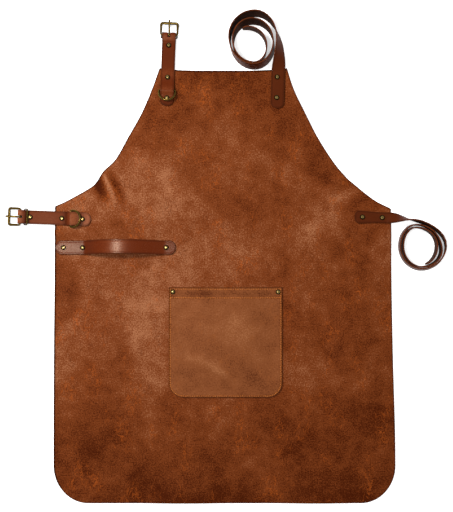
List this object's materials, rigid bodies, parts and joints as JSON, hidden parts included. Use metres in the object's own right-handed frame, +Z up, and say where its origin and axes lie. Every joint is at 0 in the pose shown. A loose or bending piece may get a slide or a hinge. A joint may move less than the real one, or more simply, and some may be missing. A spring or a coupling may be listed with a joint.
{
  "type": "leather apron",
  "caption": "Leather work apron lying flat, with a bib, a patch pocket, a riveted tool loop, buckle straps with D-rings and long rolled-up ties.",
  "frame": {"origin": "on the apron's underside, on its centre line, level with the waist straps", "axes": "+X to the right seen from above, +Y along the apron towards the bib, +Z up off the surface that it lies on"},
  "size_m": [0.7916, 0.882, 0.0248],
  "materials": {
    "body_leather": "waxed brown pull-up leather, mottled, with a soft sheen",
    "strap_leather": "darker red-brown bridle leather, smooth, with a soft sheen",
    "brass": "antiqued brass, darkened in its hollows"
  },
  "bodies": {
    "apron": {"apron_body": "body_leather", "pocket": "body_leather", "tool_loop": "strap_leather", "neck_buckle_strap": "strap_leather", "waist_buckle_strap": "strap_leather", "neck_tie": "strap_leather", "waist_tie": "strap_leather", "neck_keeper": "brass", "waist_keeper": "brass", "neck_ring_rivet": "brass", "neck_edge_rivet": "brass", "neck_buckle_rivet": "brass", "waist_ring_rivet": "brass", "waist_edge_rivet": "brass", "waist_buckle_rivet": "brass", "neck_tie_rivet_lower": "brass", "neck_tie_rivet_upper": "brass", "waist_tie_rivet_inner": "brass", "waist_tie_rivet_outer": "brass", "loop_rivet_outer": "brass", "loop_rivet_inner": "brass", "loop_rivet_far": "brass", "pocket_rivet_left": "brass", "pocket_rivet_right": "brass"},
    "neck_frame": {"neck_buckle_frame": "brass"},
    "neck_prong": {"neck_buckle_prong": "brass"},
    "neck_ring": {"neck_d_ring": "brass"},
    "waist_frame": {"waist_buckle_frame": "brass"},
    "waist_prong": {"waist_buckle_prong": "brass"},
    "waist_ring": {"waist_d_ring": "brass"}
  },
  "joints": [
    {"name": "neck_buckle_swing", "type": "hinge", "parent": "apron", "child": "neck_frame", "pos_m": [-0.09734, 0.32871, 0.0076], "axis": [0.9993, -0.0384, 0], "range_deg": [-38, 20]},
    {"name": "neck_prong_swing", "type": "hinge", "parent": "neck_frame", "child": "neck_prong", "pos_m": [-0.09734, 0.32871, 0.0076], "axis": [0.9993, -0.0384, 0], "range_deg": [0, 85]},
    {"name": "neck_ring_swing", "type": "hinge", "parent": "apron", "child": "neck_ring", "pos_m": [-0.10113, 0.23008, 0.0055], "axis": [-0.9993, 0.0384, 0], "range_deg": [0, 140]},
    {"name": "waist_buckle_swing", "type": "hinge", "parent": "apron", "child": "waist_frame", "pos_m": [-0.36491, 0.00336, 0.0052], "axis": [0.0384, 0.9993, 0], "range_deg": [-90, 30]},
    {"name": "waist_prong_swing", "type": "hinge", "parent": "waist_frame", "child": "waist_prong", "pos_m": [-0.36491, 0.00336, 0.0052], "axis": [0.0384, 0.9993, 0], "range_deg": [0, 85]},
    {"name": "waist_ring_swing", "type": "hinge", "parent": "apron", "child": "waist_ring", "pos_m": [-0.27427, -0.00012, 0.0055], "axis": [-0.0384, -0.9993, 0], "range_deg": [0, 140]}
  ]
}
